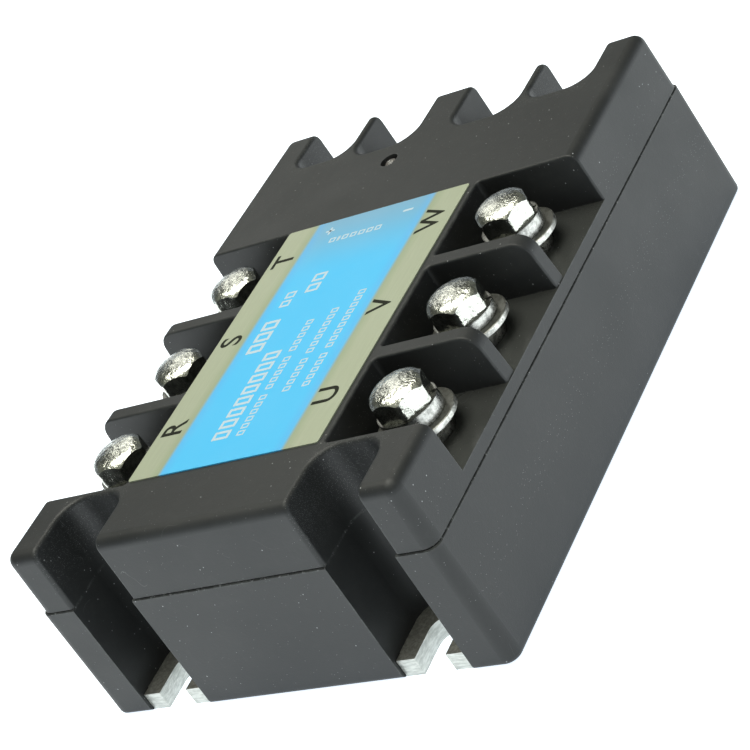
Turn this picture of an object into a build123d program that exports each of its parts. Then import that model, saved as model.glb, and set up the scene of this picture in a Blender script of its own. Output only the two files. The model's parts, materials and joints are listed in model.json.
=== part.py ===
from build123d import *
import os
from math import atan, cos, degrees, pi, radians, sin, tan

os.makedirs("parts", exist_ok=True)

# Three-phase solid state relay. Millimetres, +Z up, origin at the centre of the underside.
# X runs across the body: load terminals R S T on -X, U V W on +X.
# Y runs along it: the plain end is at -Y, the control terminals are at +Y.

# Driving dimensions: casing
BASE_BOTTOM = (74.8, 105.6)      # casing outline at the underside
BASE_TOP = (74.0, 104.8)         # casing outline at the parting plane
COVER_FOOT = (73.8, 104.4)       # cover outline at the parting plane
COVER_INSET = 0.4                # how far the cover's walls lean in, per side
PARTING_Z = 21.1
TOP_Z = 32.0
CORNER_R = 2.2                   # upright corners
FOOT_EDGE_R = 0.8                # rounded lower rim of the casing
PARTING_CHAMFER = 0.15           # each side of the parting line
TOP_EDGE_R = 1.8                 # rounded rim of the cover
SLOT_EDGE_R = 0.7                # softened top edge of the end recesses
WALL = 2.2
PLATE_THICK = 3.0
PLATE_SIDE_INSET = 2.2           # plastic skirt beside the metal plate
PLATE_END_INSET = 0.5            # plate tongues stop this far inside the casing's ends

# Driving dimensions: recesses
MOUNT_X = 24.1
MOUNT_RECESS = (12.0, 12.3)      # width, depth from the end
MOUNT_CORNER_R = 4.0
BOLT_SLOT_W = 5.3
BOLT_SLOT_Y = 47.0               # centre of the bolt slot's round end
CONTROL_X = 10.1
CONTROL_RECESS = (12.9, 13.9)
CONTROL_CORNER_R = 4.5

# Driving dimensions: load bays
SPINE_HALF_W = 18.75
BAY_Y = (-39.4, 19.1)
BAY_FLOOR_Z = 23.2
FIN_Y = (-20.65, -0.1)           # middle of each fin
FIN_THICK = 2.7
FIN_FOOT_X = 36.65
FIN_TOP_X = 35.8
FIN_CORNER_R = 2.9
BAY_CORNER_R = 0.8               # upright inner corners of the bays
BAY_EDGE_R = 0.35                # softened free edges of the bays' walls
LIP_THICK = 1.2                  # cover rib that drops inside the casing
LIP_DEPTH = 2.0
LOAD_X = 26.8
LOAD_Y = (-30.4, -10.1, 10.2)
LEFT_PHASES = "rst"
RIGHT_PHASES = "uvw"

# Driving dimensions: load screws, M5 with captive washers
LOAD_SEAT_Z = 25.7               # top of the terminal post
POST_R = 4.2
FLAT_WASHER = (6.1, 2.65, 1.0)   # outer radius, inner radius, thickness
SPRING_WASHER = (4.7, 2.55)      # outer radius, inner radius
SPRING_OPEN = {"r": 1.8, "s": 1.5, "t": 1.3, "u": 2.3, "v": 1.7, "w": 2.2}   # height left by each screw
HEX_FLATS = 8.0
HEX_HEIGHT = 4.1
HEX_TURN = {"r": 8, "s": 20, "t": 4, "u": -4, "v": -4, "w": 6}
HEX_CORNER_R = 1.0               # rounded upright corners of the head
THREAD_R = 2.45
THREAD_ROOT_R = 2.05
THREAD_PITCH = 0.8
SCREW_LENGTH = 10.0
TAPPED_R = 2.5

# Driving dimensions: control screws, M4 with captive washers
CONTROL_Y = 43.3
CONTROL_SEAT_Z = 23.5
CONTROL_POST_R = 3.2
CONTROL_FLAT_WASHER = (4.0, 2.15, 0.7)
CONTROL_SPRING_WASHER = (3.5, 2.08, 0.9)
PAN_HEAD_R = 3.6
PAN_HEAD_HEIGHT = 2.2
CONTROL_THREAD_R = 1.95
CONTROL_ROOT_R = 1.6
CONTROL_PITCH = 0.7
CONTROL_SCREW_LENGTH = 8.0
CONTROL_TAPPED_R = 2.0

# Driving dimensions: face label and status light
LABEL_SIZE = (36.1, 58.2, 0.3)
LABEL_CENTRE = (-0.35, -10.2)
LED_PLACE = (-5.45, 33.9)
LED_R = 1.5
LED_HOLE_R = 1.6

# Driving dimensions: power and control electronics
CERAMIC_SIZE = (40.0, 15.0, 0.64)
CHIP_SIZE = 8.0
CHIP_THICK = 0.5
CHIP_X = 6.0
BAR_THICK = 1.2
BAR_WIDTH = 8.0
RISER_X = 20.6
BOARD_SIZE = (32.0, 74.0, 1.6)
BOARD_Z = 13.0
POTTING_TOP_Z = 9.0
FIT_GAP = 0.1                    # clearance between parts that drop into each other

BOARD_TOP_Z = BOARD_Z + BOARD_SIZE[2]
CERAMIC_TOP_Z = PLATE_THICK + CERAMIC_SIZE[2]
CHIP_TOP_Z = CERAMIC_TOP_Z + CHIP_THICK
FOOT_TOP_Z = CHIP_TOP_Z + BAR_THICK
SPRING_Z = LOAD_SEAT_Z + FLAT_WASHER[2]
TAPPED_Z = SPRING_Z + min(SPRING_OPEN.values()) - SCREW_LENGTH - 0.6   # bottom of the tapped holes


def box_between(low, high):
    size = [b - a for a, b in zip(low, high)]
    middle = [(a + b) / 2 for a, b in zip(low, high)]
    return Pos(*middle) * Box(*size)


def upright(radius, z_low, z_high, x=0, y=0):
    return Pos(x, y, (z_low + z_high) / 2) * Cylinder(radius, z_high - z_low)


def leaning_block(outline, z_low, z_high, inset):
    """A rounded block whose four walls lean in by inset over its height."""
    height = z_high - z_low
    angle = degrees(atan(inset / height))
    return Pos(0, 0, z_low) * extrude(RectangleRounded(*outline, CORNER_R), height, taper=angle)


def end_recess(x, end, width, depth, corner_r, z_low, z_high, grow=0.0):
    """An upright recess open at one end of the body, with a round-cornered inner wall."""
    overrun = 10.0
    length = depth + overrun
    y_inner = BASE_BOTTOM[1] / 2 - depth - grow
    outline = RectangleRounded(width + 2 * grow, length + grow, corner_r + grow)
    y = end * (y_inner + (length + grow) / 2)
    return Pos(x, y, z_low) * extrude(outline, z_high - z_low)


def mount_recesses(z_low, z_high, grow=0.0):
    places = [(side * MOUNT_X, end) for side in (-1, 1) for end in (-1, 1)]
    return [end_recess(x, end, *MOUNT_RECESS, MOUNT_CORNER_R, z_low, z_high, grow) for x, end in places]


def control_recesses(z_low, z_high, grow=0.0):
    return [
        end_recess(side * CONTROL_X, 1, *CONTROL_RECESS, CONTROL_CORNER_R, z_low, z_high, grow)
        for side in (-1, 1)
    ]


def plate_outline(gap, z_low, z_high):
    """The metal plate's outline: a rectangle inside the skirt, with a tongue at each recess."""
    half_x = BASE_BOTTOM[0] / 2 - PLATE_SIDE_INSET - gap
    half_y = BASE_BOTTOM[1] / 2 - PLATE_SIDE_INSET - gap
    tongue_y = BASE_BOTTOM[1] / 2 - PLATE_END_INSET - gap
    tongue_half = MOUNT_RECESS[0] / 2 - gap
    body = box_between((-half_x, -half_y, z_low), (half_x, half_y, z_high))
    for side in (-1, 1):
        x = side * MOUNT_X
        body += box_between((x - tongue_half, -tongue_y, z_low), (x + tongue_half, tongue_y, z_high))
    return body


def base_plate():
    plate = plate_outline(FIT_GAP, 0, PLATE_THICK)
    far = BASE_BOTTOM[1]
    for side in (-1, 1):
        for end in (-1, 1):
            x, y = side * MOUNT_X, end * BOLT_SLOT_Y
            plate -= upright(BOLT_SLOT_W / 2, -1, PLATE_THICK + 1, x, y)
            low, high = sorted((y, end * far))
            half = BOLT_SLOT_W / 2
            plate -= box_between((x - half, low, -1), (x + half, high, PLATE_THICK + 1))
    return plate


def casing_cavity():
    half_x, half_y = BASE_TOP[0] / 2 - WALL, BASE_TOP[1] / 2 - WALL
    cavity = box_between((-half_x, -half_y, PLATE_THICK), (half_x, half_y, PARTING_Z + 1))
    return cavity - mount_recesses(0, PARTING_Z + 2, grow=WALL)


def base_housing():
    lean = (BASE_BOTTOM[0] - BASE_TOP[0]) / 2
    housing = leaning_block(BASE_BOTTOM, 0, PARTING_Z, lean)
    housing = fillet(housing.faces().sort_by(Axis.Z)[0].edges(), FOOT_EDGE_R)
    housing = chamfer(housing.faces().sort_by(Axis.Z)[-1].edges(), PARTING_CHAMFER)
    housing -= casing_cavity()
    housing -= plate_outline(0, -1, PLATE_THICK)
    return housing - mount_recesses(-1, PARTING_Z + 1)


def fin_trim(side, y):
    """What is cut off a partition's outer end to leave it leaning, with a rounded top corner."""
    profile = Polygon(
        (side * SPINE_HALF_W, BAY_FLOOR_Z),
        (side * FIN_FOOT_X, BAY_FLOOR_Z),
        (side * FIN_TOP_X, TOP_Z),
        (side * SPINE_HALF_W, TOP_Z),
        align=None,
    )
    corner = profile.vertices().sort_by(lambda v: side * v.X + 10 * v.Y)[-1]
    kept = extrude(Plane.XZ * fillet(corner, FIN_CORNER_R), FIN_THICK, both=True)
    low, high = sorted((side * SPINE_HALF_W, side * BASE_BOTTOM[0] / 2))
    around = box_between((low, -FIN_THICK, BAY_FLOOR_Z), (high, FIN_THICK, TOP_Z))
    return Pos(0, y, 0) * (around - kept)


def bay_spans():
    """Lowest and highest Y of each load bay."""
    walls = [BAY_Y[0]] + [y + s * FIN_THICK / 2 for y in FIN_Y for s in (-1, 1)] + [BAY_Y[1]]
    return list(zip(walls[0::2], walls[1::2]))


def bay_pocket(side, y_low, y_high):
    """A load bay: open at the top and at the body's side, with rounded inner corners."""
    x_far = BASE_BOTTOM[0] / 2 + 10
    width = x_far - SPINE_HALF_W
    outline = RectangleRounded(width, y_high - y_low, BAY_CORNER_R)
    x = side * (SPINE_HALF_W + width / 2)
    return Pos(x, (y_low + y_high) / 2, BAY_FLOOR_Z) * extrude(outline, TOP_Z + 1 - BAY_FLOOR_Z)


def bay_rims(cover):
    """Every free edge of the load bays' walls above their floors, apart from the corners' seams."""
    inside = [
        edge for edge in cover.edges()
        if edge.bounding_box().max.Z > BAY_FLOOR_Z + 1
        and abs(edge.center().X) > SPINE_HALF_W - 0.1
        and BAY_Y[0] - 0.1 < edge.center().Y < BAY_Y[1] + 0.1
    ]
    seam_x = SPINE_HALF_W + BAY_CORNER_R + 0.1
    return [edge for edge in inside if edge.center().Z > TOP_Z - 0.1 or abs(edge.center().X) > seam_x]


def cover_shape():
    cover = leaning_block(COVER_FOOT, PARTING_Z, TOP_Z, COVER_INSET)
    cover = fillet(cover.faces().sort_by(Axis.Z)[-1].edges(), TOP_EDGE_R)
    cover = chamfer(cover.faces().sort_by(Axis.Z)[0].edges(), PARTING_CHAMFER)
    for side in (-1, 1):
        for y_low, y_high in bay_spans():
            cover -= bay_pocket(side, y_low, y_high)
        for y in FIN_Y:
            cover -= fin_trim(side, y)
    return fillet(bay_rims(cover), BAY_EDGE_R)


def recess_rims(cover):
    """Edges where the end recesses break through the cover's top and its rounded rim."""
    lowest = TOP_Z - TOP_EDGE_R - 0.1
    high_edges = [edge for edge in cover.edges() if edge.bounding_box().min.Z > lowest]
    return [edge for edge in high_edges if on_recess_wall(edge.center())]


def on_recess_wall(point):
    recesses = [(side * MOUNT_X, *MOUNT_RECESS, MOUNT_CORNER_R) for side in (-1, 1)]
    if point.Y > 0:
        recesses += [(side * CONTROL_X, *CONTROL_RECESS, CONTROL_CORNER_R) for side in (-1, 1)]
    for x, width, depth, corner_r in recesses:
        past_inner_wall = abs(point.Y) - (BASE_BOTTOM[1] / 2 - depth)
        beside = abs(abs(point.X - x) - width / 2) < 0.05 and past_inner_wall > 0
        behind = abs(point.X - x) < width / 2 and -0.01 < past_inner_wall < corner_r
        if beside or behind:
            return True
    return False


def cover_cavity():
    ceiling = TOP_Z - WALL
    half_x, half_y = COVER_FOOT[0] / 2 - WALL, COVER_FOOT[1] / 2 - WALL
    spine = SPINE_HALF_W - WALL
    cavity = box_between((-spine, -half_y, PARTING_Z - 1), (spine, half_y, ceiling))
    cavity += box_between((-half_x, -half_y, PARTING_Z - 1), (half_x, BAY_Y[0] - WALL, ceiling))
    cavity += box_between((-half_x, BAY_Y[1] + WALL, PARTING_Z - 1), (half_x, half_y, ceiling))
    cavity -= mount_recesses(0, TOP_Z, grow=WALL - 0.4)
    return cavity - control_recesses(0, TOP_Z, grow=WALL - 0.4)


def load_places():
    for phases, side in ((LEFT_PHASES, -1), (RIGHT_PHASES, 1)):
        for name, y in zip(phases, LOAD_Y):
            yield name, side, y


def top_cover():
    cover = cover_shape()
    cover -= mount_recesses(PARTING_Z - 1, TOP_Z + 1)
    cover -= control_recesses(BAY_FLOOR_Z, TOP_Z + 1)
    cover = fillet(recess_rims(cover), SLOT_EDGE_R)
    cover -= cover_cavity()
    for _, side, y in load_places():
        cover -= upright(POST_R + FIT_GAP, PARTING_Z - 1, BAY_FLOOR_Z + 1, side * LOAD_X, y)
    for side in (-1, 1):
        hole_r = CONTROL_POST_R + FIT_GAP
        cover -= upright(hole_r, PARTING_Z - 1, BAY_FLOOR_Z + 1, side * CONTROL_X, CONTROL_Y)
        x_out = BASE_TOP[0] / 2 - WALL - FIT_GAP
        low, high = sorted((side * x_out, side * (x_out - LIP_THICK)))
        lip_top = PARTING_Z + 0.5
        cover += box_between((low, BAY_Y[0], PARTING_Z - LIP_DEPTH), (high, BAY_Y[1], lip_top))
    return cover - upright(LED_HOLE_R, TOP_Z - 5, TOP_Z + 1, *LED_PLACE)


def face_label():
    x, y, thick = LABEL_SIZE
    plate = extrude(RectangleRounded(x, y, 0.4), thick)
    return Pos(*LABEL_CENTRE, TOP_Z) * plate


def thread_profile(crest_r, root_r, pitch, z_tip, z_top):
    """Half section of a threaded shank: ridges at the thread's pitch, ending in a short point."""
    lead = (crest_r - root_r)
    points = [(0, z_tip), (root_r, z_tip), (root_r, z_tip + lead)]
    turns = int((z_top - z_tip - 2 * lead) / pitch)
    flank = 0.4 * pitch
    for turn in range(turns):
        z = z_tip + lead + turn * pitch
        points += [(root_r, z + 0.06), (crest_r, z + flank), (crest_r, z + flank + 0.1), (root_r, z + 2 * flank)]
    points += [(root_r, z_top - 0.3), (crest_r, z_top), (0, z_top)]
    clean = [p for i, p in enumerate(points) if i == 0 or p != points[i - 1]]
    return Plane.XZ * Polygon(*clean, align=None)


def threaded_shank(crest_r, root_r, pitch, z_tip, z_top):
    return revolve(thread_profile(crest_r, root_r, pitch, z_tip, z_top), Axis.Z)


def cross_recess(z_top, reach, width, depth):
    arms = Box(2 * reach, width, 2 * depth) + Box(width, 2 * reach, 2 * depth)
    return Pos(0, 0, z_top) * (arms & Sphere(1.25 * reach) & Pos(0, 0, -depth) * Cone(0.5 * reach, 2.0 * reach, 2 * depth))


def load_screw(side, y, head_z, turn):
    """M5 hexagon screw: a domed head with rounded corners, and a threaded shank."""
    top = head_z + HEX_HEIGHT
    corner_r = HEX_FLATS / 2 / cos(pi / 6)
    hexagon = RegularPolygon(corner_r, 6, rotation=turn)
    prism = Pos(0, 0, head_z) * extrude(fillet(hexagon.vertices(), HEX_CORNER_R), HEX_HEIGHT)
    crown = Polyline((0, head_z), (corner_r - 0.4, head_z), (corner_r + 0.02, head_z + 0.3))
    crown += Line(crown @ 1, (corner_r + 0.02, top - 1.9))
    crown += RadiusArc(crown @ 1, (3.3, top - 0.45), -2.2)
    crown += RadiusArc(crown @ 1, (0, top), -12.3)
    crown += Line(crown @ 1, (0, head_z))
    head = prism & revolve(Plane.XZ * make_face(crown), Axis.Z)
    shank = threaded_shank(THREAD_R, THREAD_ROOT_R, THREAD_PITCH, head_z - SCREW_LENGTH, head_z)
    return Pos(side * LOAD_X, y, 0) * (head + shank)


def flat_washer(x, y, seat_z, size):
    outer, inner, thick = size
    ring = upright(outer, seat_z, seat_z + thick)
    ring = chamfer(ring.edges(), 0.12)
    return Pos(x, y, 0) * (ring - upright(inner, seat_z - 1, seat_z + thick + 1))


def spring_washer(x, y, seat_z, size, turn):
    """A split lock washer, with its slanting gap at the angle turn."""
    outer, inner, thick = size
    ring = upright(outer, seat_z, seat_z + thick) - upright(inner, seat_z - 1, seat_z + thick + 1)
    middle = seat_z + thick / 2
    gap = Rot(0, 0, turn) * Pos(outer, 0, middle) * Rot(35, 0, 0) * Box(2 * outer - 0.5, 0.45, 4 * thick)
    return Pos(x, y, 0) * (ring - gap)


def load_terminal(side, y):
    """Nickelled copper: a tapped post above a bent bar whose foot lies on the power substrate."""
    x = side * LOAD_X
    half = BAR_WIDTH / 2
    plate_z = PARTING_Z - BAR_THICK
    terminal = upright(POST_R, PARTING_Z, LOAD_SEAT_Z, x, y)
    terminal += upright(3.8, PARTING_Z - 6.5, PARTING_Z, x, y)

    def bar(x_low, x_high, z_low, z_high):
        low, high = sorted((side * x_low, side * x_high))
        return box_between((low, y - half, z_low), (high, y + half, z_high))

    terminal += bar(RISER_X, LOAD_X + 4.6, plate_z, PARTING_Z)
    terminal += bar(RISER_X, RISER_X + BAR_THICK, CERAMIC_TOP_Z + 2.0, PARTING_Z)
    terminal += bar(14.0, RISER_X + BAR_THICK, CERAMIC_TOP_Z + 2.0 - BAR_THICK, CERAMIC_TOP_Z + 2.0)
    terminal += bar(14.0, 17.0, CERAMIC_TOP_Z, CERAMIC_TOP_Z + 2.0)
    terminal += bar(CHIP_X - 2.0, 17.0, CHIP_TOP_Z, CERAMIC_TOP_Z + 2.0)
    return terminal - upright(TAPPED_R, TAPPED_Z, LOAD_SEAT_Z + 1, x, y)


def ceramic_substrate(y):
    sx, sy, thick = CERAMIC_SIZE
    return box_between((-sx / 2, y - sy / 2, PLATE_THICK), (sx / 2, y + sy / 2, PLATE_THICK + thick))


def thyristor_pair(y):
    half = CHIP_SIZE / 2
    return [
        box_between((s * CHIP_X - half, y - half, CERAMIC_TOP_Z), (s * CHIP_X + half, y + half, CHIP_TOP_Z))
        for s in (-1, 1)
    ]


def gate_pins():
    """Two sprung pins per phase, from the chips' gate corners up to the board."""
    places = [(s * (CHIP_X - CHIP_SIZE / 2 + 0.9), y) for y in LOAD_Y for s in (-1, 1)]
    return [upright(0.45, CHIP_TOP_Z, BOARD_Z, x, y) for x, y in places]


def potting(embedded):
    half_x, half_y = BASE_TOP[0] / 2 - WALL - 0.02, BASE_TOP[1] / 2 - WALL - 0.02
    fill = box_between((-half_x, -half_y, PLATE_THICK), (half_x, half_y, POTTING_TOP_Z))
    fill -= mount_recesses(0, POTTING_TOP_Z + 1, grow=WALL + 0.02)
    for solid in embedded:
        fill -= solid
    return fill


def control_board():
    sx, sy, thick = BOARD_SIZE
    return Pos(0, 0, BOARD_Z) * extrude(RectangleRounded(sx, sy, 1.5), thick)


def optocouplers():
    """One six-pin trigger coupler per phase, each a body with gull-wing legs folded under it."""
    bodies = []
    for y in LOAD_Y:
        body = box_between((-11.0, y - 4.4, BOARD_TOP_Z + 0.4), (-4.6, y + 4.4, BOARD_TOP_Z + 3.9))
        for leg in (-2.54, 0, 2.54):
            leg_y = y + leg
            body += box_between((-12.2, leg_y - 0.3, BOARD_TOP_Z), (-10.9, leg_y + 0.3, BOARD_TOP_Z + 1.6))
            body += box_between((-4.7, leg_y - 0.3, BOARD_TOP_Z), (-3.4, leg_y + 0.3, BOARD_TOP_Z + 1.6))
        bodies.append(body)
    return bodies


def snubber_capacitors():
    return [box_between((2.0, y - 6.5, BOARD_TOP_Z), (8.0, y + 6.5, BOARD_TOP_Z + 9.0)) for y in LOAD_Y]


def snubber_resistors():
    """One body per phase, standing clear of the board on its two bent leads."""
    parts = []
    for y in LOAD_Y:
        body = Pos(12.0, y, BOARD_TOP_Z + 2.6) * Rot(90, 0, 0) * Cylinder(1.8, 8.0)
        for end in (-1, 1):
            lead_y = y + end * 5.5
            lead = Pos(12.0, y + end * 4.75, BOARD_TOP_Z + 2.6) * Rot(90, 0, 0) * Cylinder(0.35, 2.2)
            body += lead + upright(0.35, BOARD_TOP_Z, BOARD_TOP_Z + 2.95, 12.0, lead_y)
        parts.append(body)
    return parts


def input_resistors():
    return [
        box_between((x, 25.5, BOARD_TOP_Z), (x + 1.6, 28.7, BOARD_TOP_Z + 0.6))
        for x in (-2.0, 1.5, 5.0, 8.5)
    ]


def input_regulator():
    """A small power transistor lying on its tab, which feeds the couplers a steady current."""
    body = box_between((0.6, 29.8, BOARD_TOP_Z), (6.6, 35.0, BOARD_TOP_Z + 2.2))
    for x in (1.3, 3.6, 5.9):
        body += box_between((x - 0.4, 29.0, BOARD_TOP_Z), (x + 0.4, 30.0, BOARD_TOP_Z + 0.7))
    return body


def input_capacitor():
    return upright(3.0, BOARD_TOP_Z, BOARD_TOP_Z + 7.0, -11.0, 25.0)


def status_led():
    x, y = LED_PLACE
    base_z = TOP_Z - 5.4
    body = upright(LED_R, base_z, TOP_Z - 1.6, x, y)
    dome = Pos(x, y, TOP_Z - 1.6) * Sphere(LED_R)
    flange = upright(1.9, base_z, base_z + 1.0, x, y)
    return body + (dome & upright(LED_R + 0.1, TOP_Z - 1.7, TOP_Z, x, y)) + flange


def led_leads():
    x, y = LED_PLACE
    return [upright(0.25, BOARD_TOP_Z, TOP_Z - 5.4, x + s * 1.27 * 0.6, y) for s in (-1, 1)]


def control_terminal(side):
    """A tapped post in the control recess, with a strip that drops to the board."""
    x = side * CONTROL_X
    strip_z = PARTING_Z - BAR_THICK
    terminal = upright(CONTROL_POST_R, PARTING_Z, CONTROL_SEAT_Z, x, CONTROL_Y)
    terminal += upright(3.0, PARTING_Z - 6.5, PARTING_Z, x, CONTROL_Y)
    terminal += box_between((x - 2.5, 34.8, strip_z), (x + 2.5, CONTROL_Y + 2.5, PARTING_Z))
    terminal += box_between((x - 2.5, 34.8, BOARD_TOP_Z), (x + 2.5, 34.8 + BAR_THICK, PARTING_Z))
    hole_low = CONTROL_SEAT_Z - CONTROL_SCREW_LENGTH
    return terminal - upright(CONTROL_TAPPED_R, hole_low, CONTROL_SEAT_Z + 1, x, CONTROL_Y)


def control_screw(side):
    """M4 pan head with a cross recess."""
    seat = CONTROL_SEAT_Z + CONTROL_FLAT_WASHER[2] + CONTROL_SPRING_WASHER[2]
    head = upright(PAN_HEAD_R, seat, seat + PAN_HEAD_HEIGHT)
    head = fillet(head.edges().sort_by(Axis.Z)[-1], 1.3)
    head -= cross_recess(seat + PAN_HEAD_HEIGHT, 2.0, 0.8, 1.2)
    tip = seat - CONTROL_SCREW_LENGTH
    shank = threaded_shank(CONTROL_THREAD_R, CONTROL_ROOT_R, CONTROL_PITCH, tip, seat)
    return Pos(side * CONTROL_X, CONTROL_Y, 0) * (head + shank)


def power_parts():
    nodes = {}
    for index, y in enumerate(LOAD_Y, start=1):
        nodes[f"ceramic_substrate_{index}"] = ceramic_substrate(y)
        nodes[f"thyristor_pair_{index}"] = thyristor_pair(y)
    for name, side, y in load_places():
        nodes[f"load_terminal_{name}"] = load_terminal(side, y)
    nodes["gate_pins"] = gate_pins()
    return nodes


def as_list(shape):
    return shape if isinstance(shape, list) else [shape]


def fastener_parts():
    nodes = {}
    for name, side, y in load_places():
        x = side * LOAD_X
        split = (*SPRING_WASHER, SPRING_OPEN[name])
        nodes[f"load_screw_{name}"] = load_screw(side, y, SPRING_Z + SPRING_OPEN[name], HEX_TURN[name])
        nodes[f"flat_washer_{name}"] = flat_washer(x, y, LOAD_SEAT_Z, FLAT_WASHER)
        nodes[f"spring_washer_{name}"] = spring_washer(x, y, SPRING_Z, split, HEX_TURN[name] + 40)
    for name, side in (("plus", -1), ("minus", 1)):
        x = side * CONTROL_X
        spring_z = CONTROL_SEAT_Z + CONTROL_FLAT_WASHER[2]
        nodes[f"control_screw_{name}"] = control_screw(side)
        nodes[f"control_flat_washer_{name}"] = flat_washer(x, CONTROL_Y, CONTROL_SEAT_Z, CONTROL_FLAT_WASHER)
        nodes[f"control_spring_washer_{name}"] = spring_washer(x, CONTROL_Y, spring_z, CONTROL_SPRING_WASHER, 60)
        nodes[f"control_terminal_{name}"] = control_terminal(side)
    return nodes


def all_parts():
    nodes = {
        "base_plate": base_plate(),
        "base_housing": base_housing(),
        "top_cover": top_cover(),
        "face_label": face_label(),
        "status_led": status_led(),
        "led_leads": led_leads(),
        "control_board": control_board(),
        "optocouplers": optocouplers(),
        "snubber_capacitors": snubber_capacitors(),
        "snubber_resistors": snubber_resistors(),
        "input_resistors": input_resistors(),
        "input_regulator": input_regulator(),
        "input_capacitor": input_capacitor(),
    }
    power = power_parts()
    embedded = [solid for shape in power.values() for solid in as_list(shape)]
    nodes.update(power)
    nodes["potting"] = potting(embedded)
    nodes.update(fastener_parts())
    return nodes


for node, shape in all_parts().items():
    solids = as_list(shape)
    export_step(Compound(children=solids) if len(solids) > 1 else solids[0], f"parts/{node}.step")
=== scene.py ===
import json
from math import cos, pi, radians, sin

import bmesh
import bpy
from mathutils import Matrix, Vector


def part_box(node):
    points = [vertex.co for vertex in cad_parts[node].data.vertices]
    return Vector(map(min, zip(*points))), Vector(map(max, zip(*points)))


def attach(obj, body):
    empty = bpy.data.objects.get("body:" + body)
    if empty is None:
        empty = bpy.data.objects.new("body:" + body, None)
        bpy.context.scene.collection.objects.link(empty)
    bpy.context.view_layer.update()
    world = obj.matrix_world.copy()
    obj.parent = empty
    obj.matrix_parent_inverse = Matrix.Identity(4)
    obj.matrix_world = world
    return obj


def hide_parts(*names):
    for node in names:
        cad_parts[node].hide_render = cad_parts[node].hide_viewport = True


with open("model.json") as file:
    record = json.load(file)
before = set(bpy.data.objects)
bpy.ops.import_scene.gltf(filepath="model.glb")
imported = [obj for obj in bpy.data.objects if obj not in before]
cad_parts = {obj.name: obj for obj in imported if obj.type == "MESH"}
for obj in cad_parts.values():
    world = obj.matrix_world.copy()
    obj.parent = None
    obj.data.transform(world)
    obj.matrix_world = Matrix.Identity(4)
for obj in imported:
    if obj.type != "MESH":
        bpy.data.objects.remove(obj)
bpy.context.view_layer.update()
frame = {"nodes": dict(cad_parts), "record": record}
nodes = frame["nodes"]

# The frame is in metres. Sizes below are in millimetres unless a name says otherwise.
MM = 0.001

# Camera
CAMERA_TARGET = (-1.52, -1.85, 16.0)
CAMERA_DISTANCE = 370.76
CAMERA_AZIMUTH = 43.03
CAMERA_ELEVATION = 25.67
CAMERA_ROLL = -34.94
CAMERA_LENS = 117.0              # on a 36 mm sensor

# Places on the casing
SEAM_Z = 21.1
BAY_FLOOR_Z = 23.2
RECESS_X = 24.1                  # middle of the end recesses, either side
RECESS_HALF_W = 6.3
RECESS_DEEP_Y = 39.5             # where they end

# Surroundings
FLOOR_HALF = 4000.0
FLOOR_GLOW = 1.1
SKY = [                          # sine of the height above the horizon, and the light there
    (0.0, (0.84, 0.92, 1.0)),
    (0.10, (0.62, 0.69, 0.77)),
    (0.24, (0.17, 0.185, 0.19)),
    (0.62, (0.19, 0.20, 0.16)),
    (0.85, (0.47, 0.48, 0.42)),
]
SKY_SHARES = (0.5, 1.0)          # of that light, behind the object and behind the camera

# Face label
LABEL_THICK = 0.22
LABEL_CORNER_R = 0.5
LABEL_EDGE_R = 0.06
BAND_X = (-12.1, 11.3)           # blue band, between the two silver strips
BAND_SOFT = 0.5                  # half the width over which its edge fades
BAND_RIM = 2.6                   # deeper blue along its edges
STRIP_RIM = 2.4                  # greener silver beside it
FAR_BLUE_Y = (-16, 2)            # where it turns to the far blue, from the label's far edge

# Print on the label. Lines run along +Y, and the letters' tops point to -X
INK_THICK = 0.015
LETTER_HEIGHT = 4.15
LETTER_BOLDER = 0.07
CAPITAL_HEIGHT = 0.73            # of the font's size
LEFT_LETTER_X = -13.5            # baselines
RIGHT_LETTER_X = 15.7
LETTERS = {"R": (LEFT_LETTER_X, -30.4), "S": (LEFT_LETTER_X, -10.1), "T": (LEFT_LETTER_X, 9.2),
           "U": (RIGHT_LETTER_X, -30.6), "V": (RIGHT_LETTER_X, -10.6), "W": (RIGHT_LETTER_X, 8.3)}
FINE_WIDTH = 1.1                 # boxes that stand in for small print
FINE_HEIGHT = 1.4
FINE_GAP = 0.42
FINE_STROKE = 0.27
FINE_LINES = [(-0.4, -33.8, (6, 5, 5)), (3.7, -25.4, (5, 7)), (7.3, -25.2, (5, 9))]   # x, start, words
BOLD_LINES = [                   # x range, start, box widths, gap, stroke
    ((-5.2, -2.0), -33.8, (1.9,) * 8, 0.6, 0.55),
    ((-10.0, -6.8), -13.5, (2.2,) * 3, 0.5, 0.6),
    ((-9.2, -7.2), -2.7, (1.6,) * 2, 0.5, 0.4),
    ((-5.3, -2.7), -0.3, (2.0,) * 2, 0.6, 0.5),
]
INPUT_COLUMN = (-7.2, 12.6, (1.2, 0.5, 1.2, 1.2, 1.2, 1.2, 1.2))   # x, y, box lengths along X
INPUT_WIDTH = 1.2
INPUT_GAP = 0.45
PLUS_BARS = [(-9.4, 15.9, -7.6, 16.3), (-8.7, 15.2, -8.3, 17.0)]
MINUS_BAR = (6.2, 15.7, 8.2, 16.2)

# Colours, linear
SILVER = (0.44, 0.48, 0.355)
BLUE_NEAR = (0.085, 0.55, 0.96)
BLUE_FAR = (0.21, 0.43, 0.62)
SCRATCH = (0.30, 0.31, 0.31)     # pale marks in the black plastic


# ---------------------------------------------------------------- shading

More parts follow.
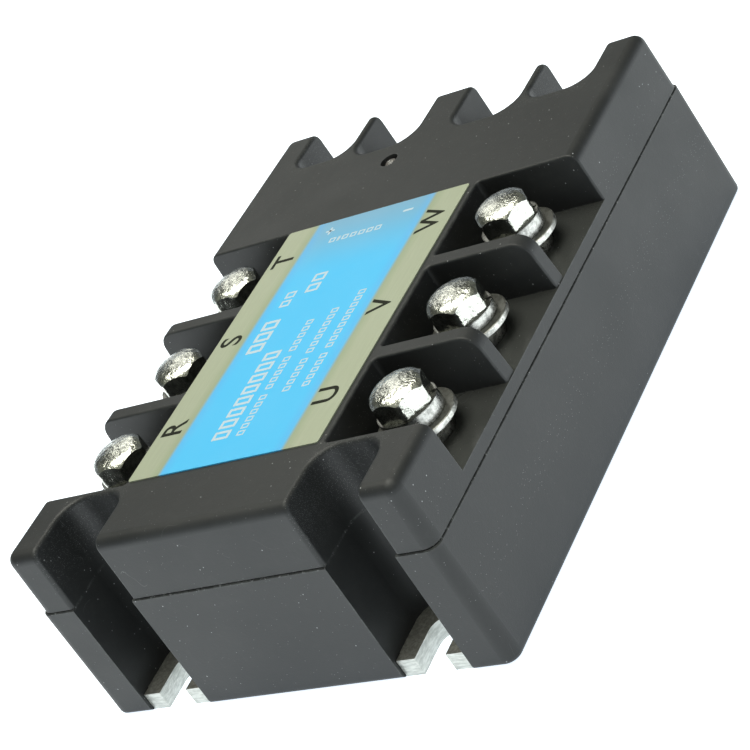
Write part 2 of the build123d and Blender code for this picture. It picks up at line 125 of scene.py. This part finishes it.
class Graph:
    """One material's nodes, written as expressions."""

    def __init__(self, name):
        self.material = bpy.data.materials.new(name)
        self.material.use_nodes = True
        self.tree = self.material.node_tree
        self.tree.nodes.clear()
        output = self.tree.nodes.new("ShaderNodeOutputMaterial")
        self.surface = self.tree.nodes.new("ShaderNodeBsdfPrincipled")
        self.tree.links.new(self.surface.outputs["BSDF"], output.inputs["Surface"])
        coordinates = self.tree.nodes.new("ShaderNodeTexCoord")
        self.place = self.scaled(coordinates.outputs["Object"], 1 / MM)
        self.normal = coordinates.outputs["Normal"]

    def node(self, kind, outlet, inputs=(), **settings):
        made = self.tree.nodes.new(kind)
        for key, value in settings.items():
            setattr(made, key, value)
        for key, value in dict(inputs).items():
            self.feed(made.inputs[key], value)
        return made.outputs[outlet]

    def feed(self, socket, value):
        if isinstance(value, bpy.types.NodeSocket):
            self.tree.links.new(value, socket)
        elif socket.type == "RGBA":
            socket.default_value = (*value, 1.0)
        else:
            socket.default_value = value

    def scaled(self, vector, factor):
        amounts = factor if isinstance(factor, tuple) else (factor,) * 3
        return self.node("ShaderNodeVectorMath", 0, {0: vector, 1: amounts}, operation="MULTIPLY")

    def math(self, operation, a, b=0.0):
        return self.node("ShaderNodeMath", 0, {0: a, 1: b}, operation=operation)

    def times(self, a, b):
        return self.math("MULTIPLY", a, b)

    def distance(self, value, middle):
        """How far a value is from a middle value, either way."""
        return self.math("ABSOLUTE", self.math("SUBTRACT", value, middle))

    def noise(self, per_mm, detail=2.0, rough=0.5, place=None):
        inputs = {"Vector": place or self.place, "Scale": per_mm, "Detail": detail, "Roughness": rough}
        return self.node("ShaderNodeTexNoise", "Fac", inputs)

    def steps(self, value, low, high, start=0.0, end=1.0):
        """Value mapped smoothly from low..high to start..end."""
        inputs = {"Value": value, "From Min": low, "From Max": high, "To Min": start, "To Max": end}
        return self.node("ShaderNodeMapRange", 0, inputs, interpolation_type="SMOOTHSTEP")

    def mix(self, amount, a, b):
        return self.node("ShaderNodeMix", 2, {0: amount, 6: a, 7: b}, data_type="RGBA")

    def part_of(self, vector, axis):
        return self.node("ShaderNodeSeparateXYZ", axis, {0: vector})

    def specks(self, per_mm, radius, share):
        """Small dots on a share of the cells of a scattered pattern."""
        cells = self.tree.nodes.new("ShaderNodeTexVoronoi")
        self.feed(cells.inputs["Vector"], self.place)
        self.feed(cells.inputs["Scale"], per_mm)
        near = self.steps(cells.outputs["Distance"], radius * per_mm, radius * per_mm * 0.6)
        chosen = self.math("GREATER_THAN", self.part_of(cells.outputs["Color"], 0), 1 - share)
        return self.times(near, chosen)

    def lines(self, per_mm, width, share):
        """Thin curved marks: where a slow noise crosses its middle value, kept in a few patches."""
        thin = self.steps(self.distance(self.noise(per_mm, 1.0), 0.5), width, 0.0)
        patch = self.steps(self.noise(per_mm * 2.3, 0.0, place=self.shifted(41.0)), 1 - share, 1.02 - share)
        return self.times(thin, patch)

    def edges(self, width):
        """One within about a width, in mm, of a sharp edge, and zero on open faces."""
        softened = self.node("ShaderNodeBevel", 0, {"Radius": width * MM}, samples=4)
        true = self.node("ShaderNodeNewGeometry", "Normal")
        same = self.node("ShaderNodeVectorMath", "Value", {0: softened, 1: true}, operation="DOT_PRODUCT")
        return self.steps(same, 0.995, 0.93)

    def shifted(self, amount):
        return self.node("ShaderNodeVectorMath", 0, {0: self.place, 1: (amount,) * 3}, operation="ADD")

    def bumps(self, *layers):
        """Each layer is (height, depth in mm); the last one lies on the ones before it."""
        normal = None
        for height, depth in layers:
            inputs = {"Height": height, "Distance": depth * MM, "Strength": 1.0}
            if normal:
                inputs["Normal"] = normal
            normal = self.node("ShaderNodeBump", 0, inputs)
        self.feed(self.surface.inputs["Normal"], normal)

    def set(self, **values):
        names = {"colour": "Base Color", "metal": "Metallic", "rough": "Roughness", "ior": "IOR",
                 "clear": "Transmission Weight", "gloss": "Specular IOR Level",
                 "glow": "Emission Color", "glow_strength": "Emission Strength"}
        for key, value in values.items():
            self.feed(self.surface.inputs[names[key]], value)


def paint(material, *names):
    for name in names:
        slots = nodes[name].data.materials
        slots.clear()
        slots.append(material)


def recess_dust(g):
    """Fine dust that has settled on the curved walls of the end recesses."""
    x, y, z = (g.part_of(g.place, axis) for axis in range(3))
    across = g.steps(g.distance(g.math("ABSOLUTE", x), RECESS_X), RECESS_HALF_W + 0.4, RECESS_HALF_W)
    along = g.steps(g.math("ABSOLUTE", y), RECESS_DEEP_Y - 2, RECESS_DEEP_Y)
    inside = g.times(g.times(across, along), g.steps(z, SEAM_Z, SEAM_Z + 6))
    return g.times(inside, g.specks(6.0, 0.05, 0.6))


def moulded_plastic(name, shine_z=None):
    """Black moulded plastic: eroded grain, smudges, dust, scratches, a nicked seam, edges lightened as wear
    with a painted highlight, and with shine_z a painted sheen on the bay floors.
    """
    g = Graph(name)
    smudge = g.noise(0.06, 4.0, 0.6)
    cloud = g.noise(0.7, 3.0)
    height = g.part_of(g.place, 2)
    colour = g.mix(g.steps(smudge, 0.35, 0.7), (0.0190, 0.0203, 0.0208), (0.0266, 0.0282, 0.0289))
    colour = g.mix(g.times(g.steps(cloud, 0.5, 0.8), 0.3), colour, (0.036, 0.037, 0.036))
    dust = g.math("MAXIMUM", g.specks(1.2, 0.12, 0.06), g.times(g.specks(2.5, 0.07, 0.11), 0.45))
    dust = g.math("MAXIMUM", dust, g.times(recess_dust(g), 0.4))
    colour = g.mix(g.times(dust, 0.75), colour, (0.50, 0.51, 0.52))
    hair = g.lines(0.10, 0.0009, 0.30)
    colour = g.mix(g.times(hair, 0.25), colour, SCRATCH)
    by_seam = g.steps(g.distance(height, SEAM_Z), 0.35, 0.1)
    nicks = g.times(by_seam, g.steps(g.noise(1.6, 3.0, 0.7), 0.60, 0.66))
    colour = g.mix(g.times(nicks, 0.6), colour, SCRATCH)
    # Lighter patches along sharp edges: partly wear, partly a painted highlight on the rounded edges.
    wear_and_painted_highlight = g.times(g.edges(0.45), g.steps(g.noise(0.5, 4.0, 0.7), 0.42, 0.62))
    colour = g.mix(g.times(wear_and_painted_highlight, 0.35), colour, (0.16, 0.17, 0.165))
    rough = g.math("ADD", g.steps(smudge, 0.3, 0.75, 0.44, 0.56), g.times(dust, 0.3))
    if shine_z is not None:
        # Flat bay floors: smoother, and a lighter colour that is a painted sheen of reflected light.
        flat = g.math("GREATER_THAN", g.part_of(g.normal, 2), 0.9)
        polished_with_painted_sheen = g.times(flat, g.math("LESS_THAN", g.distance(height, shine_z), 0.05))
        rough = g.math("SUBTRACT", rough, g.times(polished_with_painted_sheen, 0.28))
        colour = g.mix(g.times(polished_with_painted_sheen, 0.7), colour, (0.056, 0.058, 0.055))
    g.set(colour=colour, rough=rough, gloss=0.42)
    g.bumps((g.noise(0.09, 2.0), 0.05), (g.noise(2.2, 3.0, 0.6), 0.014), (g.noise(6.0, 2.0, 0.6), 0.016))
    return g.material


def nickel(name, tint, rough, dent_mm, scuffs=0.5, painted_dark_top=0.0, painted_edge_shade=0.0):
    """Bright plated steel with stamping dents and stains, with painted shade along its edges and, where
    asked, painted shade on its tops.
    """
    g = Graph(name)
    stain = g.noise(0.9, 5.0, 0.7)
    colour = g.mix(g.steps(stain, 0.42, 0.62), tint, tuple(0.55 * c for c in tint))
    spots = g.noise(3.2, 4.0, 0.65)
    colour = g.mix(g.times(g.steps(spots, 0.55, 0.72), scuffs), colour, (0.17, 0.17, 0.12))
    # Up-facing faces darkened in colour: painted shade on the washers' tops.
    if painted_dark_top:
        up = g.steps(g.part_of(g.normal, 2), 0.7, 0.95)
        colour = g.mix(g.times(up, painted_dark_top), colour, (0.10, 0.10, 0.085))
    # Near-black along the edges: painted shade in the gaps between stacked parts.
    if painted_edge_shade:
        colour = g.mix(g.times(g.edges(0.3), painted_edge_shade), colour, (0.03, 0.03, 0.025))
    g.set(colour=colour, metal=1.0, rough=g.steps(spots, 0.3, 0.8, rough, rough + 0.22))
    g.bumps((g.noise(0.8, 2.0), dent_mm), (g.noise(2.6, 3.0, 0.6), dent_mm * 0.45))
    return g.material


def aluminium(name):
    """Bare base plate: bright sawn edges, a duller pebbled top."""
    g = Graph(name)
    up = g.steps(g.part_of(g.normal, 2), 0.6, 0.9)
    pebble = g.noise(2.2, 4.0, 0.6)
    dull = g.mix(g.steps(pebble, 0.35, 0.7), (0.26, 0.26, 0.24), (0.42, 0.42, 0.39))
    sawn = g.noise(1.0, 3.0, 0.6, place=g.scaled(g.place, (0.6, 0.6, 2.5)))
    bright = g.mix(g.steps(sawn, 0.3, 0.7), (0.42, 0.43, 0.40), (0.64, 0.65, 0.61))
    g.set(colour=g.mix(up, bright, dull), metal=0.85, rough=g.steps(up, 0.0, 1.0, 0.42, 0.5))
    g.bumps((pebble, 0.05), (sawn, 0.02))
    return g.material


def label_film():
    """Printed silver film: a blue band between two brushed silver strips."""
    g = Graph("label_film")
    x, y = g.part_of(g.place, 0), g.part_of(g.place, 1)
    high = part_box("face_label")[1]
    along = g.steps(y, *(high.y / MM + offset for offset in FAR_BLUE_Y))
    blue = g.mix(along, BLUE_NEAR, BLUE_FAR)
    in_left = g.steps(x, BAND_X[0] - BAND_SOFT, BAND_X[0] + BAND_SOFT)
    in_right = g.steps(x, BAND_X[1] + BAND_SOFT, BAND_X[1] - BAND_SOFT)
    band = g.times(in_left, in_right)
    off_middle = g.distance(x, (BAND_X[0] + BAND_X[1]) / 2)
    half = (BAND_X[1] - BAND_X[0]) / 2
    inner_rim = g.steps(off_middle, half - BAND_RIM, half)
    blue = g.mix(g.times(inner_rim, 0.5), blue, (0.12, 0.44, 0.86))
    outer_rim = g.steps(off_middle, half + STRIP_RIM, half + 0.2)
    brushed = g.noise(0.8, 3.0, 0.6, place=g.scaled(g.place, (6.0, 0.25, 1.0)))
    silver = g.mix(g.steps(brushed, 0.3, 0.7), tuple(0.94 * c for c in SILVER), SILVER)
    silver = g.mix(g.times(outer_rim, 0.5), silver, (0.30, 0.37, 0.22))
    colour = g.mix(band, silver, blue)
    tone = g.noise(0.12, 3.0)
    g.set(colour=colour, metal=g.steps(band, 0.0, 1.0, 0.25, 0.0), gloss=0.25,
          rough=g.steps(tone, 0.3, 0.7, 0.40, 0.50))
    g.bumps((g.noise(5.0, 2.0), 0.004), (tone, 0.02))
    return g.material


def ink(name, colour):
    g = Graph(name)
    speckle = g.noise(7.0, 3.0, 0.6)
    g.set(colour=g.mix(g.steps(speckle, 0.3, 0.7), colour, tuple(0.86 * c for c in colour)),
          rough=0.5, gloss=0.12)
    g.bumps((speckle, 0.003))
    return g.material


def grained(name, colour, other, per_mm, rough, depth, metal=0.0):
    """A plain technical surface: two tones of one colour in a fine grain."""
    g = Graph(name)
    grain = g.noise(per_mm, 4.0, 0.6)
    g.set(colour=g.mix(g.steps(grain, 0.35, 0.65), colour, other), metal=metal,
          rough=g.steps(grain, 0.3, 0.7, rough, rough + 0.1))
    g.bumps((grain, depth))
    return g.material


def clear_resin():
    """The status light's lens: smoky clear resin with a few moulding marks."""
    g = Graph("led_resin")
    cloud = g.noise(0.9, 3.0)
    g.set(colour=g.mix(g.steps(cloud, 0.3, 0.7), (0.55, 0.50, 0.48), (0.75, 0.72, 0.70)),
          clear=0.75, ior=1.5, rough=g.steps(cloud, 0.3, 0.7, 0.04, 0.10))
    g.bumps((cloud, 0.02))
    return g.material


def paint_frame():
    """A finished material on every carried-over CAD node."""
    paint(moulded_plastic("cover_plastic", BAY_FLOOR_Z), "top_cover")
    paint(moulded_plastic("housing_plastic"), "base_housing")
    paint(aluminium("base_aluminium"), "base_plate")
    paint(clear_resin(), "status_led")
    black = (0.02, 0.02, 0.02)
    tones = {
        "washer_nickel": nickel("washer_nickel", (0.88, 0.88, 0.83), 0.28, 0.02, 0.2, painted_dark_top=0.75),
        "spring_steel": nickel("spring_steel", (0.62, 0.62, 0.59), 0.24, 0.02, 0.3, painted_dark_top=0.5, painted_edge_shade=0.9),
        "screw_nickel": nickel("screw_nickel", (0.93, 0.94, 0.86), 0.06, 0.16, 0.5),
        # Terminal posts' nickel is darkened as painted shade, as they sit in shadow under the washers.
        "terminal_nickel": nickel("terminal_nickel", (0.42, 0.41, 0.36), 0.25, 0.03, 0.3),
        "tinned_wire": nickel("tinned_wire", (0.62, 0.62, 0.60), 0.3, 0.01, 0.3),
        "board_laminate": grained("board_laminate", (0.015, 0.11, 0.05), (0.03, 0.16, 0.08), 1.5, 0.35, 0.02),
        "component_black": grained("component_black", black, (0.035, 0.035, 0.035), 4, 0.5, 0.02),
        "capacitor_case": grained("capacitor_case", (0.50, 0.33, 0.05), (0.60, 0.42, 0.08), 1.0, 0.35, 0.02),
        "resistor_body": grained("resistor_body", (0.22, 0.30, 0.34), (0.27, 0.36, 0.40), 2.0, 0.4, 0.02),
        "resistor_chip": grained("resistor_chip", (0.02, 0.02, 0.03), (0.05, 0.05, 0.06), 3.0, 0.3, 0.01),
        "capacitor_can": grained("capacitor_can", (0.02, 0.04, 0.12), (0.03, 0.06, 0.16), 1.0, 0.3, 0.01),
        "potting_resin": grained("potting_resin", (0.03, 0.03, 0.035), (0.05, 0.05, 0.055), 0.3, 0.15, 0.10),
        "alumina": grained("alumina", (0.80, 0.79, 0.75), (0.86, 0.85, 0.82), 3.0, 0.45, 0.01),
        "silicon": grained("silicon", (0.10, 0.11, 0.14), (0.14, 0.15, 0.19), 2.0, 0.12, 0.005, metal=0.6),
    }
    for row in frame["record"]["subparts"]:
        if row["material_slot"] in tones:
            paint(tones[row["material_slot"]], row["node"])


# ---------------------------------------------------------------- pieces

def as_piece(name, mesh, material):
    piece = bpy.data.objects.new(name, mesh)
    bpy.context.scene.collection.objects.link(piece)
    mesh.materials.append(material)
    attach(piece, "relay_case")
    return piece


def rounded_outline(x_low, y_low, x_high, y_high, radius, steps):
    """Points round a rectangle, anticlockwise, with round corners."""
    corners = [(x_high, y_high, 0), (x_low, y_high, 1), (x_low, y_low, 2), (x_high, y_low, 3)]
    points = []
    for x, y, turn in corners:
        cx = x - radius if x == x_high else x + radius
        cy = y - radius if y == y_high else y + radius
        for i in range(steps + 1):
            angle = (turn + i / steps) * pi / 2
            points.append((cx + radius * cos(angle), cy + radius * sin(angle)))
    return points


def sheet_mesh(name, box, z_low, z_high, corner_r, edge_r, steps=8):
    """A thin plate with round corners and a rounded upper edge."""
    mesh = bpy.data.meshes.new(name)
    bm = bmesh.new()
    rings = [(0.0, z_low), (0.0, z_high - edge_r)]
    rings += [(edge_r * (1 - cos(a)), z_high - edge_r * (1 - sin(a))) for a in (pi / 6, pi / 3, pi / 2)]
    loops = []
    for inset, z in rings:
        x0, y0, x1, y1 = box
        outline = rounded_outline(x0 + inset, y0 + inset, x1 - inset, y1 - inset, corner_r - inset, steps)
        loops.append([bm.verts.new((x * MM, y * MM, z * MM)) for x, y in outline])
    for lower, upper in zip(loops, loops[1:]):
        for i in range(len(lower)):
            j = (i + 1) % len(lower)
            bm.faces.new((lower[i], lower[j], upper[j], upper[i]))
    bm.faces.new(loops[-1])
    bm.faces.new(reversed(loops[0]))
    bm.normal_update()
    bm.to_mesh(mesh)
    bm.free()
    return mesh


def lettering(name, text, place, z):
    """A raised printed letter as a mesh, which reads along +Y from its baseline's start at place."""
    curve = bpy.data.curves.new(name, "FONT")
    curve.body = text
    curve.size = LETTER_HEIGHT * MM / CAPITAL_HEIGHT
    curve.extrude = INK_THICK * MM / 2
    curve.offset = LETTER_BOLDER * MM
    writer = bpy.data.objects.new(name, curve)
    bpy.context.scene.collection.objects.link(writer)
    bpy.context.view_layer.update()
    mesh = bpy.data.meshes.new_from_object(writer.evaluated_get(bpy.context.evaluated_depsgraph_get()))
    bpy.data.objects.remove(writer)
    lift = Matrix.Translation(Vector((place[0], place[1], z + INK_THICK / 2)) * MM)
    mesh.transform(lift @ Matrix.Rotation(pi / 2, 4, "Z"))
    return mesh


def joined(name, meshes):
    """One mesh from several."""
    bm = bmesh.new()
    for mesh in meshes:
        bm.from_mesh(mesh)
    whole = bpy.data.meshes.new(name)
    bm.to_mesh(whole)
    bm.free()
    return whole


def bar(x_low, y_low, x_high, y_high, z):
    """A short printed stroke."""
    radius = 0.3 * min(x_high - x_low, y_high - y_low)
    return sheet_mesh("stroke", (x_low, y_low, x_high, y_high), z, z + INK_THICK, radius, 0.3 * INK_THICK, 2)


def blocks(x_low, x_high, y_start, widths, gap, stroke, z):
    """A line of stand-in print that runs along +Y: open boxes, with a gap where a width is zero."""
    y = y_start
    for width in widths:
        if width:
            yield bar(x_low, y, x_low + stroke, y + width, z)
            yield bar(x_high - stroke, y, x_high, y + width, z)
            yield bar(x_low + stroke, y, x_high - stroke, y + stroke, z)
            yield bar(x_low + stroke, y + width - stroke, x_high - stroke, y + width, z)
        y += width + gap


def stand_in_print(z):
    """Open boxes in place of the label's wording, and the signs of the control terminals."""
    made = []
    for (x_low, x_high), start, widths, gap, stroke in BOLD_LINES:
        made += blocks(x_low, x_high, start, widths, gap, stroke, z)
    for x, start, words in FINE_LINES:
        widths = []
        for count in words:
            widths += [FINE_WIDTH] * count + [0, 0]
        made += blocks(x, x + FINE_HEIGHT, start, widths, FINE_GAP, FINE_STROKE, z)
    x, start, lengths = INPUT_COLUMN
    for length in lengths:
        made += blocks(x, x + length, start, (INPUT_WIDTH,), 0, FINE_STROKE, z)
        x += length + INPUT_GAP
    made += [bar(*corners, z) for corners in (*PLUS_BARS, MINUS_BAR)]
    return made


def face_label():
    low, high = (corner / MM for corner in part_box("face_label"))
    top = low.z + LABEL_THICK
    box = (low.x, low.y, high.x, high.y)
    film = sheet_mesh("face_label_film", box, low.z, top, LABEL_CORNER_R, LABEL_EDGE_R)
    piece = as_piece("face_label_film", film, label_film())
    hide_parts("face_label")

    letters = [lettering("letter", text, place, top) for text, place in LETTERS.items()]
    dark_ink = ink("dark_ink", (0.012, 0.014, 0.006))
    white_ink = ink("white_ink", (0.60, 0.74, 0.84))
    as_piece("phase_letters", joined("phase_letters", letters), dark_ink)
    as_piece("label_print", joined("label_print", stand_in_print(top)), white_ink)


# ---------------------------------------------------------------- surroundings

def camera():
    data = bpy.data.cameras.new("camera")
    data.lens = CAMERA_LENS
    data.sensor_width = 36.0
    data.clip_start, data.clip_end = 0.01, 50.0
    seen_from = bpy.data.objects.new("camera", data)
    turn = Matrix.Rotation(radians(CAMERA_AZIMUTH), 4, "Z")
    turn = turn @ Matrix.Rotation(radians(90 - CAMERA_ELEVATION), 4, "X")
    turn = turn @ Matrix.Rotation(radians(CAMERA_ROLL), 4, "Z")
    back = turn.to_3x3() @ Vector((0, 0, 1))
    place = (Vector(CAMERA_TARGET) + CAMERA_DISTANCE * back) * MM
    seen_from.matrix_world = Matrix.Translation(place) @ turn
    bpy.context.scene.collection.objects.link(seen_from)
    bpy.context.scene.camera = seen_from


def softbox(name, place, target, size, power, tint=(1, 1, 1)):
    data = bpy.data.lights.new(name, "AREA")
    data.shape = "RECTANGLE"
    data.size, data.size_y = (s * MM for s in size)
    data.energy = power
    data.color = tint
    lamp = bpy.data.objects.new(name, data)
    at = Vector(place) * MM
    aim = (Vector(target) * MM - at).to_track_quat("-Z", "Y")
    lamp.matrix_world = Matrix.Translation(at) @ aim.to_matrix().to_4x4()
    bpy.context.scene.collection.objects.link(lamp)


def studio():
    """A soft white room: pale near the floor, dim at half height, darker behind the object."""
    world = bpy.data.worlds.new("studio")
    world.use_nodes = True
    tree = world.node_tree
    tree.nodes.clear()

    def linked(kind, *sources, **settings):
        node = tree.nodes.new(kind)
        for key, value in settings.items():
            setattr(node, key, value)
        for inlet, outlet in sources:
            tree.links.new(outlet, node.inputs[inlet])
        return node

    direction = linked("ShaderNodeTexCoord").outputs["Generated"]
    height = linked("ShaderNodeSeparateXYZ", (0, direction)).outputs["Z"]
    ramp = linked("ShaderNodeValToRGB", (0, height))
    while len(ramp.color_ramp.elements) < len(SKY):
        ramp.color_ramp.elements.new(0.5)
    for stop, (position, colour) in zip(ramp.color_ramp.elements, SKY):
        stop.position = position
        stop.color = (*colour, 1.0)
    towards_viewer = linked("ShaderNodeVectorMath", (0, direction), operation="DOT_PRODUCT")
    towards_viewer.inputs[1].default_value = (sin(radians(CAMERA_AZIMUTH)), -cos(radians(CAMERA_AZIMUTH)), 0)
    side = linked("ShaderNodeMapRange", (0, towards_viewer.outputs["Value"]))
    for inlet, value in zip(("From Min", "From Max", "To Min", "To Max"), (-0.5, 0.4, *SKY_SHARES)):
        side.inputs[inlet].default_value = value
    background = linked("ShaderNodeBackground", ("Color", ramp.outputs[0]), ("Strength", side.outputs[0]))
    linked("ShaderNodeOutputWorld", ("Surface", background.outputs[0]))
    bpy.context.scene.world = world
    bpy.context.scene.view_settings.view_transform = "Standard"
    softbox("overhead", (-100, 100, 1100), (0, 0, 0), (900, 900), 12.0, (1.0, 1.0, 0.90))
    softbox("behind", (-640, 690, 640), (0, 0, 25), (260, 700), 0.70, (1.0, 1.0, 0.94))


def floor():
    mesh = bpy.data.meshes.new("floor")
    corners = [(x * FLOOR_HALF * MM, y * FLOOR_HALF * MM, 0) for x, y in ((-1, -1), (1, -1), (1, 1), (-1, 1))]
    mesh.from_pydata(corners, [], [(0, 1, 2, 3)])
    plane = bpy.data.objects.new("floor", mesh)
    bpy.context.scene.collection.objects.link(plane)
    g = Graph("pale_floor")
    g.set(colour=(0.86, 0.86, 0.86), rough=0.9, gloss=0.1, glow=(0.80, 0.90, 1.0), glow_strength=FLOOR_GLOW)
    mesh.materials.append(g.material)


paint_frame()
face_label()
camera()
studio()
floor()
